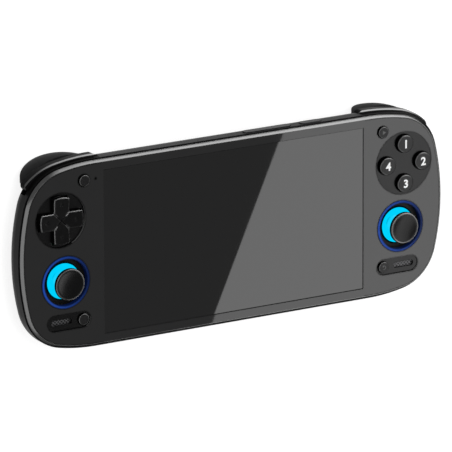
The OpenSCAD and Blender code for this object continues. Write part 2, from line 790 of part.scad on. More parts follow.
module glow_ring(left) color("#20d8ff") place() on_side(left) difference() {
    union() {
        disc(stick_c, glow_d / 2, well_depth - glow_h, well_back);
        disc(stick_c, glow_flange_r, well_back, well_back + glow_flange_t);
    }
    disc(stick_c, glow_bore / 2, 0, well_back + 2);
}

module glow_ring_left() glow_ring(true);
module glow_ring_right() glow_ring(false);

// Thumb cap: dished top with a soft rim, neck, and a dome that closes the well round the pivot
module stick_cap(left) color("#2c2d2f") place() on_side(left) translate(stick_c)
  rotate_extrude() difference() {
    cap_r = cap_d / 2;
    neck_r = cap_r - 3.2;
    skirt = cap_h - cap_rim;
    dish_r = cap_r - 1.1;
    dish_ball = (pow(dish_r, 2) + pow(cap_dish, 2)) / (2 * cap_dish);
    union() {
        polygon([
            [0, dome_r - dome_wall - pivot_depth], [neck_r, dome_r - dome_wall - pivot_depth],
            [neck_r, skirt - 1], [cap_r, skirt], [cap_r, cap_h - cap_edge],
            [cap_r - cap_edge, cap_h], [0, cap_h]
        ]);
        translate([cap_r - cap_edge, cap_h - cap_edge]) circle(cap_edge);
        difference() {
            intersection() {
                translate([0, -pivot_depth]) circle(dome_r);
                polygon([[0, -pivot_depth], [0, 0], [dome_r * tan(50), dome_r - pivot_depth]]);
            }
            translate([0, -pivot_depth]) circle(dome_r - dome_wall);
        }
    }
    translate([0, cap_h - cap_dish + dish_ball]) circle(dish_ball, $fn = 360);
    translate([-1, -far]) square([lever_r + pin_gap + 1, far + cap_h - cap_dish - 0.8]);
}

module stick_cap_left() stick_cap(true);
module stick_cap_right() stick_cap(false);

module at_pivot() translate([stick_c.x, stick_c.y, -pivot_depth]) children();

// Post of a stick with its cross pin
module stick_lever(left) color("#b8babd") place() on_side(left) at_pivot() {
    translate([0, 0, -2]) cylinder(r = lever_r, h = pivot_depth + cap_h - cap_dish - 0.9 - click_travel + 2);
    cylinder(r = lever_r + 0.6, h = gimbal_t, center = true);
    rotate([90, 0, 0]) cylinder(r = lever_pin_r, h = 2 * gimbal_r - 0.4, center = true);
}

module stick_lever_left() stick_lever(true);
module stick_lever_right() stick_lever(false);

// Ring that carries the post's pin and turns on its own trunnions in the housing
module stick_gimbal(left) color("#8d9094") place() on_side(left) at_pivot() difference() {
    union() {
        cylinder(r = gimbal_r, h = gimbal_t, center = true);
        rotate([0, 90, 0]) cylinder(r = trunnion_r, h = module_w - 0.4, center = true);
    }
    cylinder(r = gimbal_bore, h = module_w, center = true);
    rotate([90, 0, 0]) cylinder(r = lever_pin_r + pin_gap, h = module_w, center = true);
}

module stick_gimbal_left() stick_gimbal(true);
module stick_gimbal_right() stick_gimbal(false);

module stick_housing(left) color("#55585c") place() on_side(left) translate(stick_c) difference() {
    union() {
        layer(housing_top, housing_back) square(module_w, center = true);
        layer(board_back, board_back + 0.8) square([module_w + 5, 5], center = true);
    }
    disc([0, 0], housing_bore, housing_top - 1, housing_back - 0.8);
    translate([0, 0, -pivot_depth]) rotate([0, 90, 0])
        cylinder(r = trunnion_r + pin_gap, h = module_w + 1, center = true);
}

module stick_housing_left() stick_housing(true);
module stick_housing_right() stick_housing(false);

// Shoulder key in front: a bar along the corner with a bevelled front edge, hung on a lug at its inner end
module bumper(left) color("#303134") place() on_side(left) difference() {
    union() {
        shoulder_sweep(shoulder_x, bumper_end) polygon([
            [-bumper_in, -bumper_rear], [-bumper_in, -bumper_front],
            [bumper_proud - bumper_bevel, -bumper_front], [bumper_proud, -bumper_front - bumper_bevel],
            [bumper_proud, -bumper_rear + 0.4], [bumper_proud - 0.4, -bumper_rear]
        ]);
        layer(bumper_lug_front, bumper_lug_front + bumper_lug_t) {
            translate(bumper_pivot) circle(bumper_lug_r);
            translate([bumper_pivot.x - bumper_lug_r, bumper_pivot.y])
                square([2 * bumper_lug_r, half_h - bumper_in + 0.5 - bumper_pivot.y]);
        }
    }
    disc(bumper_pivot, shoulder_pin_r + pin_gap, 0, bumper_rear);
    layer(bumper_front - 1, bumper_rear + 1) {
        translate([shoulder_x + bumper_end_r, half_h + bumper_proud - bumper_end_r]) end_round();
        translate(bumper_corner_c) rotate(bumper_end - 90)
            translate([-bumper_end_r, bumper_corner_r + bumper_proud - bumper_end_r]) mirror([1, 0]) end_round();
    }
}

// What is cut off to round one end of a bumper
module end_round() difference() {
    translate([-bumper_end_r - 1, 0]) square(bumper_end_r + 1);
    circle(bumper_end_r);
}

module bumper_left() bumper(true);
module bumper_right() bumper(false);

module bumper_pins() color("#c9cccf") place() both_sides()
    disc(bumper_pivot, shoulder_pin_r, front_in, bumper_lug_front + bumper_lug_t + 0.4);

// Shoulder key behind: a curved pad that ends in a round tongue behind the back, leaning inwards,
// on two arms that hang on the pin
module trigger(left) color("#2a2b2e") place() on_side(left) difference() {
    union() {
        intersection() {
            translate(trigger_plan_c) rotate_extrude() intersection() {
                translate([trigger_plan_r - trigger_lean_r, -trigger_front]) circle(trigger_lean_r, $fn = 360);
                translate([trigger_plan_r - trigger_body, -rest_depth]) square([far, rest_depth - trigger_front]);
            }
            translate([trigger_tongue_x, half_h - trigger_in, -trigger_tongue_depth]) rotate([-90, 0, 0])
                cylinder(r = trigger_tongue_r, h = far);
        }
        for (x = [trigger_arm_1, trigger_arm_2]) translate([x, trigger_pivot_y, -trigger_pivot_depth]) {
            rotate([0, 90, 0]) cylinder(r = trigger_hub_r, h = trigger_arm_t);
            translate([0, -trigger_hub_r, -trigger_hub_r])
                cube([trigger_arm_t, 2 * trigger_hub_r, trigger_hub_r]);
        }
    }
    disc(trigger_plan_c, trigger_plan_r - trigger_wall, back_depth + 1, rest_depth + 1);
    for (x = [trigger_x, trigger_ear_2])
        translate([x - shoulder_gap, trigger_pivot_y - 1.5, -trigger_pivot_depth - 1] - trigger_hub_r * [0, 1, 1])
            cube([trigger_ear_t + 2 * shoulder_gap, 2 * trigger_hub_r + trigger_ear_room, 2 * trigger_hub_r + 2]);
    translate([trigger_arm_1 - 1, trigger_pivot_y, -trigger_pivot_depth]) rotate([0, 90, 0])
        cylinder(r = shoulder_pin_r + pin_gap, h = trigger_ear_2 + 1 - trigger_arm_1);
}

module trigger_left() trigger(true);
module trigger_right() trigger(false);

module trigger_pins() color("#c9cccf") place() both_sides()
    translate([trigger_x, trigger_pivot_y, -trigger_pivot_depth]) rotate([0, 90, 0])
        cylinder(r = shoulder_pin_r, h = trigger_ear_2 + trigger_ear_t - trigger_x);

// Key in the shoulder edge wall, with end stops behind the wall
module edge_key(x, l) color("#303134") place()
    translate([x, half_h + edge_key_h, -edge_slot_depth]) rotate([90, 0, 0]) {
        key_w = edge_slot_w - 2 * key_gap;
        stop = wall + edge_key_h + 0.3;
        linear_extrude(stop) pill(l - 2 * key_gap, key_w);
        translate([0, 0, stop]) linear_extrude(0.6) square([l + 1.6, key_w - 0.4], center = true);
    }

module power_button() edge_key(power_x, power_l);
module volume_rocker() edge_key(volume_x, volume_l);

// Key board of one half: switches for the small keys, cut out round the stick module and the posts
module key_board(left) color("#1d5a3c") place() on_side(left) difference() {
    union() {
        layer(board_depth, board_back) intersection() {
            outline(wall + 1.4);
            union() {
                translate([half_w - board_w, -board_low]) square([board_w, board_low + board_high]);
                translate([small_c.x - board_tab / 2, 0]) square([board_tab, small_c.y + 0.6]);
            }
        }
        for (c = [small_c, menu_c]) disc(c, 1.3, board_depth - 0.5, board_depth);
        if (left) disc([-dpad_c.x, dpad_c.y], dpad_ball_r + 1.2, dpad_ball_depth + 0.3, board_depth);
    }
    layer(0, board_back + 1) translate(stick_c) square(module_w + 0.6, center = true);
    for (p = posts) disc(p, post_tip_r + 0.15, 0, board_back + 1);
    if (left) translate([-dpad_c.x, dpad_c.y, -dpad_ball_depth]) sphere(dpad_ball_r + pin_gap);
}

module key_board_left() key_board(true);
module key_board_right() key_board(false);

// Main board in the upper middle, with its processor facing the heat sink
module main_board() color("#1d5a3c") place() {
    layer(main_top, main_top + board_t) translate([-main_w / 2, 0]) square([main_w, main_h]);
    layer(main_top + board_t, sink_top) translate([0, fan_y]) square(chip_w, center = true);
}

module heat_sink() color("#a7aaae") place() layer(sink_top, fan_top)
    translate([0, fan_y]) square(fan_w, center = true);

// Blower between the heat sink and the grille: open to the back and, on the shoulder side, to the outlet
module fan_housing() color("#38393c") place() translate([0, fan_y]) {
    difference() {
        layer(fan_top, back_in) square(fan_w, center = true);
        disc([0, 0], fan_w / 2 - 1.4, fan_top + 0.6, back_in + 1);
        translate([0, 0, 0.6 - back_in]) cube([fan_w / 2 - 1.4, fan_w, back_in - fan_top - 1.2]);
    }
    disc([0, 0], 1, fan_top + 0.6, back_in - 0.8);
}

module fan_impeller() color("#1b1c1e") place() translate([0, fan_y]) difference() {
    union() {
        disc([0, 0], fan_w / 6, fan_top + 0.9, back_in - 0.4);
        disc([0, 0], fan_w / 2 - 2, fan_top + 0.9, fan_top + 1.5);
        for (i = [0:fan_blades - 1]) rotate(360 * i / fan_blades)
            translate([fan_w / 6 - 0.5, -0.4, 0.4 - back_in])
                cube([fan_w / 3 - 2, 0.8, back_in - fan_top - 1.3]);
    }
    disc([0, 0], 1 + pin_gap, fan_top, back_in - 0.7);
}

module battery() color("#3c4450") place() layer(carrier_back, carrier_back + battery_t)
    translate([0, -battery_top - battery_w / 2]) square([battery_l, battery_w], center = true);

// Small board along the lower edge that carries the charging socket and the card socket
module port_board() color("#1d5a3c") place() layer(port_board_depth, port_board_depth + board_t) {
    start = jack_x + jack_d / 2 + jack_wall + 0.4;
    translate([start, wall + 1 - half_h]) square([card_x + card_w - start, 6]);
}

module usb_socket() color("#b8babd") place() translate([0, -half_h, -port_depth]) rotate([-90, 0, 0]) {
    difference() {
        linear_extrude(usb_l) pill(usb_w, usb_h);
        translate([0, 0, -1]) linear_extrude(usb_l) pill(usb_w - 0.6, usb_h - 0.6);
    }
    linear_extrude(usb_l - 0.5) square([usb_w - 2.2, 0.7], center = true);
}

module headphone_socket() color("#2a2b2d") place()
    translate([jack_x, -half_h, -port_depth]) rotate([-90, 0, 0]) difference() {
        cylinder(d = jack_d + 2 * jack_wall, h = jack_l + 1);
        translate([0, 0, -1]) cylinder(d = jack_d, h = jack_l + 1);
    }

module card_socket() color("#b8babd") place()
    translate([card_x, wall + 0.4 - half_h, -port_depth]) rotate([-90, 0, 0]) difference() {
        linear_extrude(card_l) square([card_w + 2, usb_h], center = true);
        translate([0, 0, -1]) linear_extrude(card_l) square([card_w, card_h], center = true);
    }

module rear_screws() color("#8d9094") place() both_sides() for (p = posts) {
    disc(p, screw_head_r, back_depth - screw_head_t - 0.2, back_depth - 0.2);
    disc(p, screw_r, front_in + 1.5, back_depth - screw_head_t);
}

front_shell();
rear_shell();
bezel_trim();
faceplate();
display_glass();
display_panel();
carrier_plate();
dpad_well();
dpad();
dpad_ball();
dpad_membrane();
cluster_plate();
cluster_membrane();
face_button_top();
face_button_right();
face_button_bottom();
face_button_left();
select_button();
start_button();
menu_button_left();
menu_button_right();
pill_plate_left();
pill_plate_right();
speaker_meshes();
speaker_left();
speaker_right();
stick_ring_left();
stick_ring_right();
glow_ring_left();
glow_ring_right();
stick_cap_left();
stick_cap_right();
stick_lever_left();
stick_lever_right();
stick_gimbal_left();
stick_gimbal_right();
stick_housing_left();
stick_housing_right();
bumper_left();
bumper_right();
bumper_pins();
trigger_left();
trigger_right();
trigger_pins();
power_button();
volume_rocker();
key_board_left();
key_board_right();
main_board();
battery();
heat_sink();
fan_housing();
fan_impeller();
port_board();
usb_socket();
headphone_socket();
card_socket();
rear_screws();
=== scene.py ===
"""Looks of a handheld game console that lies on its back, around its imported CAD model."""

import bpy
import numpy as np
from mathutils import Matrix, Vector


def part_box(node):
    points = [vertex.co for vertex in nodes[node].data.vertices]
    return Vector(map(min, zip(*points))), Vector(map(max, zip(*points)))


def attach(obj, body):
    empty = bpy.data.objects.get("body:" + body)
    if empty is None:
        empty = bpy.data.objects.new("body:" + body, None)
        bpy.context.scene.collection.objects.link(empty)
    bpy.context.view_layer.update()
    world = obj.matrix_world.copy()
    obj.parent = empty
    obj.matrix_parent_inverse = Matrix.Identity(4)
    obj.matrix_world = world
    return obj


# Frame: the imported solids, in metres, with the screen facing up and the shoulder keys towards +Y.
# Every solid keeps its shape and place; the sections below give it a finish or add printing to it.
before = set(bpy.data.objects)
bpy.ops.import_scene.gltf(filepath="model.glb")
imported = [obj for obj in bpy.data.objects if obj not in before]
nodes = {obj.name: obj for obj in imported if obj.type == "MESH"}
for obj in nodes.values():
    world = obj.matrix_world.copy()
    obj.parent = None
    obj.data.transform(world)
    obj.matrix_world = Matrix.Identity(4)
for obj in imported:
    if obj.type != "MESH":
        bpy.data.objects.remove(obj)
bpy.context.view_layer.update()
mm = 0.001

# Housing: two black satin mouldings, split all round behind the shoulder keys.
# The mould's spark finish leaves a fine even grain; four steel screws hold the halves together.
# The strip of wall between the rim and the shoulder keys is painted black and mirrors next to nothing:
# painted shade.
shoulder_low, shoulder_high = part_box("bumper_right")
strip_depth = 1.6 * mm


class Wire:
    """One socket in a material's node tree. Arithmetic on it adds Math nodes."""

    def __init__(self, tree, socket=None):
        self.tree = tree
        self.socket = socket

    def add(self, kind, settings=None, inputs=None, out=0):
        """A new node: its settings come first, then the values or links of its sockets."""
        node = self.tree.nodes.new(kind)
        for name, value in (settings or {}).items():
            setattr(node, name, value)
        for name, value in (inputs or {}).items():
            socket = node.inputs[name]
            if isinstance(value, Wire):
                self.tree.links.new(value.socket, socket)
            else:
                socket.default_value = value
        return Wire(self.tree, node.outputs[out])

    def math(self, operation, first, second):
        """A Math node on two values."""
        return self.add("ShaderNodeMath", {"operation": operation}, {0: first, 1: second})

    def __add__(self, other):
        return self.math("ADD", self, other)

    def __radd__(self, other):
        return self.math("ADD", other, self)

    def __sub__(self, other):
        return self.math("SUBTRACT", self, other)

    def __rsub__(self, other):
        return self.math("SUBTRACT", other, self)

    def __mul__(self, other):
        return self.math("MULTIPLY", self, other)

    def __rmul__(self, other):
        return self.math("MULTIPLY", other, self)

    def __gt__(self, other):
        return self.math("GREATER_THAN", self, other)

    def __lt__(self, other):
        return self.math("LESS_THAN", self, other)

    def __abs__(self):
        return self.math("ABSOLUTE", self, 0)

    def clip(self):
        """This value, held between 0 and 1."""
        return self.add("ShaderNodeClamp", inputs={"Value": self})

    def axis(self, letter):
        """One axis of these coordinates."""
        return self.add("ShaderNodeSeparateXYZ", inputs={"Vector": self}, out=letter)

    def noise(self, size, detail=2.0):
        """Noise on these coordinates, with grains of a size in metres, from 0 to 1."""
        return self.add("ShaderNodeTexNoise", inputs={"Vector": self, "Scale": 1 / size, "Detail": detail})

    def blend(self, dark, light):
        """A colour between two, by this value. Each is a triple or a Wire."""
        ends = [colour if isinstance(colour, Wire) else (*colour, 1) for colour in (dark, light)]
        return self.add(
            "ShaderNodeMix", {"data_type": "RGBA"}, {"Factor": self, "A": ends[0], "B": ends[1]}, out=2
        )


def new_finish(name, **fixed):
    """A new material: its shader, and a Wire on its Object coordinates.
    Fixed values go on the shader's sockets."""
    material = bpy.data.materials.new(name)
    material.use_nodes = True
    shader = material.node_tree.nodes["Principled BSDF"]
    for socket, value in fixed.items():
        shader.inputs[socket.replace("_", " ")].default_value = value
    place = Wire(material.node_tree).add("ShaderNodeTexCoord", out="Object")
    return material, shader, place


def feed(shader, **wires):
    """Links wires to a shader's sockets."""
    for socket, wire in wires.items():
        wire.tree.links.new(wire.socket, shader.inputs[socket.replace("_", " ")])


def moulded(
    name,
    colour,
    roughness,
    grain,
    depth,
    edge=0.15 * mm,
    rounded=True,
    specular=0.5,
    vary=0.1,
    edge_shine_or_shade=None,
    where=None,
    painted_shade=None,
):
    """Moulded plastic or rubber: a fine grain from the mould, patches a little more or less polished,
    and rounded edges. Grain is the size of the texture's bumps, depth is their height.
    The edge value is how much light the masked edges mirror: a few hundredths give polished edges that
    catch the lamps, a few thousandths give edges that mirror next to nothing, a painted shade.
    Where narrows the mask of these edges; the shade mask marks walls given a painted shade, which mirror
    next to nothing."""
    patch_size, patch_contrast = 9 * mm, 0.1
    edge_start, edge_gain = 0.95, 9
    tint = 0.5 if edge_shine_or_shade else 1.0
    material, shader, place = new_finish(
        name, Specular_IOR_Level=specular, Specular_Tint=(tint, tint, tint, 1)
    )
    patches = place.noise(patch_size)
    soft = place.add("ShaderNodeBevel", {"samples": 4}, {"Radius": edge})
    grained = {"Strength": 1.0, "Distance": depth, "Height": place.noise(grain)}
    if rounded:
        grained["Normal"] = soft
    bump = place.add("ShaderNodeBump", inputs=grained)
    colour = np.array(colour)
    paint = patches.blend(colour * (1 - patch_contrast), colour * (1 + patch_contrast))
    if edge_shine_or_shade:
        flat = place.add("ShaderNodeNewGeometry", out="Normal")
        alike = place.add(
            "ShaderNodeVectorMath", {"operation": "DOT_PRODUCT"}, {0: soft, 1: flat}, out="Value"
        )
        edges = ((edge_start - alike) * edge_gain).clip()
        if where:
            edges = where(place, edges)
        paint = edges.blend(paint, (edge_shine_or_shade, edge_shine_or_shade, edge_shine_or_shade))
        if painted_shade:
            edges = (edges + painted_shade(place)).clip()
        feed(shader, Metallic=edges)
    feed(shader, Base_Color=paint, Roughness=patches * vary + (roughness - vary / 2), Normal=bump)
    return material


def dress(material, *names):
    """Gives CAD nodes a material."""
    for name in names:
        mesh = nodes[name].data
        mesh.materials.clear()
        mesh.materials.append(material)


def shaded_strip(place, edges):
    """The strip of wall beside the shoulder keys, from a little below their fronts upwards, which gets the
    painted shade.
    """
    beside = (abs(place.axis("X")) > shoulder_low.x) * (place.axis("Y") > shoulder_low.y)
    return beside * (place.axis("Z") > shoulder_high.z - strip_depth)


# On the strip beside the shoulder keys the housing is black and mirrors next to nothing: painted shade.
housing_plastic = moulded(
    "housing_plastic",
    (0.004, 0.004, 0.0043),
    roughness=0.38,
    grain=0.16 * mm,
    depth=0.003 * mm,
    edge=0.3 * mm,
    specular=0.055,
    edge_shine_or_shade=0.004,
    where=shaded_strip,
)
dress(housing_plastic, "front_shell", "rear_shell")


def turned(name, colour, roughness, lines, tint=1.0):
    """Drawn or turned metal: fine lines of a width in metres, and a slow change of polish.
    Tint below 1 dulls the metal at glancing angles."""
    stretch = (0.08, 0.08, 1.0)
    line_depth, line_detail = 0.001 * mm, 3.0
    edge = 0.1 * mm
    polish_size, polish_change = 6 * mm, 0.12
    material, shader, place = new_finish(name, Metallic=1.0, Specular_Tint=(tint, tint, tint, 1))
    drawn = place.add("ShaderNodeMapping", inputs={"Vector": place, "Scale": stretch})
    fine = drawn.noise(lines, line_detail)
    soft = place.add("ShaderNodeBevel", {"samples": 4}, {"Radius": edge})
    bump = place.add(
        "ShaderNodeBump", inputs={"Strength": 1.0, "Distance": line_depth, "Height": fine, "Normal": soft}
    )
    colour = np.array(colour)
    feed(
        shader,
        Base_Color=fine.blend(colour * 0.93, colour * 1.05),
        Roughness=place.noise(polish_size) * polish_change + (roughness - polish_change / 2),
        Normal=bump,
    )
    return material


steel = turned("steel", (0.55, 0.55, 0.57), roughness=0.34, lines=0.08 * mm)
dress(steel, "rear_screws")

# Inside: boards, cell, heat sink, blower and the plate that carries them.
# Boards are green laminate with a faint weave; the blower is plain black plastic.
# They are seen only through the grille and the ports.
board_green = moulded(
    "board_green", (0.012, 0.095, 0.045), roughness=0.45, grain=0.4 * mm, depth=0.004 * mm
)
dress(board_green, "key_board_left", "key_board_right", "main_board", "port_board")
frame_metal = turned("frame_metal", (0.5, 0.51, 0.53), roughness=0.4, lines=0.15 * mm)
dress(frame_metal, "carrier_plate", "heat_sink")
battery_wrap = moulded(
    "battery_wrap", (0.045, 0.058, 0.08), roughness=0.35, grain=2.5 * mm, depth=0.02 * mm
)
dress(battery_wrap, "battery")
black_plastic = moulded(
    "black_plastic", (0.02, 0.02, 0.021), roughness=0.5, grain=0.2 * mm, depth=0.004 * mm
)
dress(black_plastic, "fan_housing", "fan_impeller", "speaker_left", "speaker_right", "headphone_socket")
dress(steel, "usb_socket", "card_socket", "bumper_pins", "trigger_pins", "dpad_ball")
dress(steel, "stick_lever_left", "stick_lever_right")
membrane_rubber = moulded(
    "membrane_rubber", (0.16, 0.17, 0.18), roughness=0.6, grain=0.3 * mm, depth=0.003 * mm
)
dress(membrane_rubber, "dpad_membrane", "cluster_membrane")

# Rim: a dark polished ring, pressed in between the housing and the face.
# Its sloping front mirrors the lamps as a bright line.
trim_metal = turned("trim_metal", (0.05, 0.05, 0.05), roughness=0.2, lines=0.1 * mm, tint=0.3)
dress(trim_metal, "bezel_trim")

# Faceplate: smooth black plastic, polished enough to mirror a bright panel.
# The rims of its openings are painted black and mirror next to nothing, a painted shade, except round the
# display; the sunk plates have a duller grain.
# The openings' right walls and the display's lower wall are painted a lighter grey: painted light.
window_margin = 0.7 * mm
window_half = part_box("display_glass")[1].x + window_margin
pad_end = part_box("dpad_well")[1].y
least_facing = 0.5


def facing(place):
    """The direction that a surface faces, before any rounding."""
    return place.add("ShaderNodeNewGeometry", out="True Normal")


def beside_window(place, edges):
    """The rims of the openings that get the painted shade, on the face alone and without those of the
    display's window.
    """
    return edges * (abs(place.axis("X")) > window_half) * (facing(place).axis("Z") > least_facing)


# The rims of the face's openings are black and mirror next to nothing: painted shade.
face_plastic = moulded(
    "faceplate_plastic",
    (0.0128, 0.0128, 0.013),
    roughness=0.025,
    grain=0.3 * mm,
    depth=0.00003 * mm,
    edge=1.1 * mm,
    rounded=False,
    specular=0.28,
    vary=0.01,
    edge_shine_or_shade=0.002,
    where=beside_window,
)
face_shader = face_plastic.node_tree.nodes["Principled BSDF"]
face_place = Wire(face_plastic.node_tree).add("ShaderNodeTexCoord", out="Object")
face_paint = Wire(face_plastic.node_tree, face_shader.inputs["Base Color"].links[0].from_socket)
# Walls of the face's openings that face left, below the top of the pad's well or inside the window, and the
# window's lower wall, are painted a lighter grey: painted light.
in_window = abs(face_place.axis("X")) < window_half
painted_light_area = face_place.math("MAXIMUM", face_place.axis("Y") < pad_end, in_window)
painted_light_right_walls = (facing(face_place).axis("X") < -least_facing) * painted_light_area
painted_light_window_foot = (facing(face_place).axis("Y") > least_facing) * in_window
face_paint = painted_light_right_walls.blend(face_paint, (0.12, 0.12, 0.12))
feed(face_shader, Base_Color=painted_light_window_foot.blend(face_paint, (0.05, 0.05, 0.05)))
dress(face_plastic, "faceplate")
# The sunk plates' edges are black and mirror next to nothing: painted shade round their borders.
plate_plastic = moulded(
    "plate_plastic",
    (0.001, 0.001, 0.0011),
    roughness=0.22,
    grain=0.14 * mm,
    depth=0.0006 * mm,
    edge=0.3 * mm,
    specular=0.125,
    edge_shine_or_shade=0.003,
)
dress(plate_plastic, "dpad_well", "cluster_plate", "pill_plate_left", "pill_plate_right")

# Display: unlit panel behind dark cover glass, sunk a little below the face.
# The glass has only the faintest smears.
glass_finish, glass_shader, glass_place = new_finish("display_glass", Specular_IOR_Level=0.2)
smear_size, smear_detail = 22 * mm, 4.0
smears = glass_place.noise(smear_size, smear_detail)
feed(
    glass_shader,
    Base_Color=smears.blend((0.001, 0.001, 0.0011), (0.0014, 0.0014, 0.0015)),
    Roughness=smears * 0.02 + 0.01,
)
dress(glass_finish, "display_glass")
panel_edge = moulded(
    "display_panel", (0.004, 0.004, 0.005), roughness=0.4, grain=0.3 * mm, depth=0.001 * mm
)
dress(panel_edge, "display_panel")

# Keys: black plastic with a satin top, the pad a little darker than the buttons.
# Their soft edges are polished by use and catch the light.
face_buttons = ["face_button_top", "face_button_right", "face_button_bottom", "face_button_left"]
small_buttons = ["select_button", "start_button", "menu_button_left", "menu_button_right"]
wall_end, top_start = 0.25, 0.96


def fillets(place, edges):
    """The rounded edges of the keys, between their walls and their tops."""
    steep = facing(place).axis("Z")
    return (steep > wall_end) * (steep < top_start)


def walls(place):
    """The upright walls of the keys, given a painted shade: they mirror next to nothing, as if in the shade
    of their holes.
    """
    return abs(facing(place).axis("Z")) < wall_end


# The keys' upright walls mirror next to nothing: painted shade.
key_surface = {
    "roughness": 0.3,
    "grain": 0.12 * mm,
    "depth": 0.001 * mm,
    "edge": 0.3 * mm,
    "where": fillets,
    "painted_shade": walls,
}
key_plastic = moulded("key_plastic", (0.005, 0.005, 0.0052), specular=0.12, edge_shine_or_shade=0.03, **key_surface)
small_key_plastic = moulded(
    "small_key_plastic", (0.007, 0.007, 0.0072), specular=0.1, edge_shine_or_shade=0.04, **key_surface
)
dress(key_plastic, *face_buttons)
dress(small_key_plastic, *small_buttons)
edge_key_plastic = moulded(
    "edge_key_plastic",
    (0.016, 0.016, 0.017),
    roughness=0.36,
    grain=0.16 * mm,
    depth=0.003 * mm,
    edge=0.2 * mm,
    specular=0.11,
)
dress(edge_key_plastic, "power_button", "volume_rocker")
pad_low, pad_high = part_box("dpad")
pad_middle = (pad_low + pad_high) / 2
mark_half_width = 1.7 * mm
mark_reach = 9 * mm


def beside_marks(place, edges):
    """The worn edges of the pad without those of the small marks on its four arms."""
    across = abs(place.axis("X") - pad_middle.x)
    along = abs(place.axis("Y") - pad_middle.y)
    nearer = place.math("MINIMUM", across, along)
    farther = place.math("MAXIMUM", across, along)
    return edges * (1 - (nearer < mark_half_width) * (farther < mark_reach))


pad_plastic = moulded(
    "pad_plastic",
    (0.003, 0.003, 0.0031),
    roughness=0.28,
    grain=0.12 * mm,
    depth=0.001 * mm,
    edge=0.8 * mm,
    specular=0.06,
    edge_shine_or_shade=0.07,
    where=beside_marks,
)
dress(pad_plastic, "dpad")

# Shoulder keys: a slim bumper over a deep trigger on each side, in the housing's satin black.
# The bumper's front bevel is polished like the rim.
bumper_top = shoulder_high.z
bevel_low, bevel_high = 0.95 * mm, 0.4 * mm


def front_bevel(place, edges):
    """The band of heights that the outer half of the bumper's front bevel takes up."""
    height = place.axis("Z")
    return (height > bumper_top - bevel_low) * (height < bumper_top - bevel_high)


trigger_plastic = moulded(
    "trigger_plastic",
    (0.012, 0.012, 0.0125),
    roughness=0.45,
    grain=0.14 * mm,
    depth=0.002 * mm,
    edge=0.3 * mm,
    specular=0.012,
)
dress(trigger_plastic, "trigger_left", "trigger_right")
bumper_plastic = moulded(
    "bumper_plastic",
    (0.004, 0.004, 0.0042),
    roughness=0.26,
    grain=0.14 * mm,
    depth=0.001 * mm,
    edge=0.2 * mm,
    specular=0.015,
    edge_shine_or_shade=0.05,
    where=front_bevel,
)
dress(bumper_plastic, "bumper_left", "bumper_right")

# Printing on the keys: one plain numeral on each face button, in thick white ink.
# A numeral is set, turned into a mesh and laid on the button's top.
numeral_height = 3.6 * mm
ink_depth = 0.03 * mm
stroke_gain, set_depth = 0.03, 0.02


def printing_ink(name, dark, light, **fixed):
    """Ink with a faint mottle between two greys, and an uneven gloss."""
    mottle_size, gloss_size = 0.4 * mm, 0.3 * mm
    finish, shader, place = new_finish(name, **fixed)
    feed(
        shader,
        Base_Color=place.noise(mottle_size).blend((dark, dark, dark), (light, light, light)),
        Roughness=place.noise(gloss_size) * 0.2 + 0.45,
    )
    return finish


def key_top(node):
    """The middle of a key's top."""
    low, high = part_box(node)
    middle = (low + high) / 2
    return np.array([middle.x, middle.y, high.z])


def lay(name, mesh, node):
    """Lays a printed mesh on a key, which carries it."""
    piece = bpy.data.objects.new(name, mesh)
    bpy.context.scene.collection.objects.link(piece)
    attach(piece, node)


white_ink = printing_ink("white_ink", 0.78, 0.88)


def numeral(name, character, node):
    """A numeral printed on the top of a round key, centred on it."""
    letters = bpy.data.curves.new(name, "FONT")
    letters.body = character
    letters.align_x = "CENTER"
    letters.align_y = "CENTER"
    letters.offset = stroke_gain
    letters.extrude = set_depth
    shape = bpy.data.objects.new(name, letters)
    mesh = bpy.data.meshes.new_from_object(shape)
    bpy.data.objects.remove(shape)
    points = np.empty(len(mesh.vertices) * 3)
    mesh.vertices.foreach_get("co", points)
    points = points.reshape(-1, 3)
    low, high = points.min(0), points.max(0)
    size = np.array([numeral_height, numeral_height, ink_depth]) / (high - low)[[1, 1, 2]]
    points = (points - (low + high) / 2) * size + key_top(node)
    mesh.vertices.foreach_set("co", points.ravel())
    mesh.materials.clear()
    mesh.materials.append(white_ink)
    lay(name, mesh, node)


for count, button in enumerate(face_buttons, 1):
    numeral("numeral_" + str(count), str(count), button)

# Marks on the two small right keys: a pointer and a turned arrow, in thin grey ink.
# Each is an outline round the key's middle, made as thick as the ink.
grey_ink = printing_ink("grey_ink", 0.08, 0.1, Specular_IOR_Level=0.1)
pointer_r = 1.0
arrow_r, arrow_line, arrow_head = 0.8, 0.24, 0.5
arrow_start, arrow_end, arrow_tip = -130, 110, 165


def printed(name, outline, node):
    """A flat mark on the top of a round key: an outline in millimetres round the key's centre,
    made as thick as the ink."""
    top = key_top(node)
    outline = np.array(outline) * mm + top[:2]
    count = len(outline)
    lower = np.column_stack([outline, np.full(count, top[2] - ink_depth / 2)])
    upper = lower + [0, 0, ink_depth]
    sides = [(i, (i + 1) % count, count + (i + 1) % count, count + i) for i in range(count)]
    faces = [tuple(range(count - 1, -1, -1)), tuple(range(count, 2 * count)), *sides]
    mesh = bpy.data.meshes.new(name)
    mesh.from_pydata(np.concatenate([lower, upper]).tolist(), [], faces)
    mesh.materials.append(grey_ink)
    lay(name, mesh, node)


def ring_points(radius, start, end, count=14):
    """Points on an arc round the origin, by angles in degrees: radius * (cos a, sin a)."""
    angles = np.radians(np.linspace(start, end, count))
    return np.stack([np.cos(angles), np.sin(angles)], 1) * radius


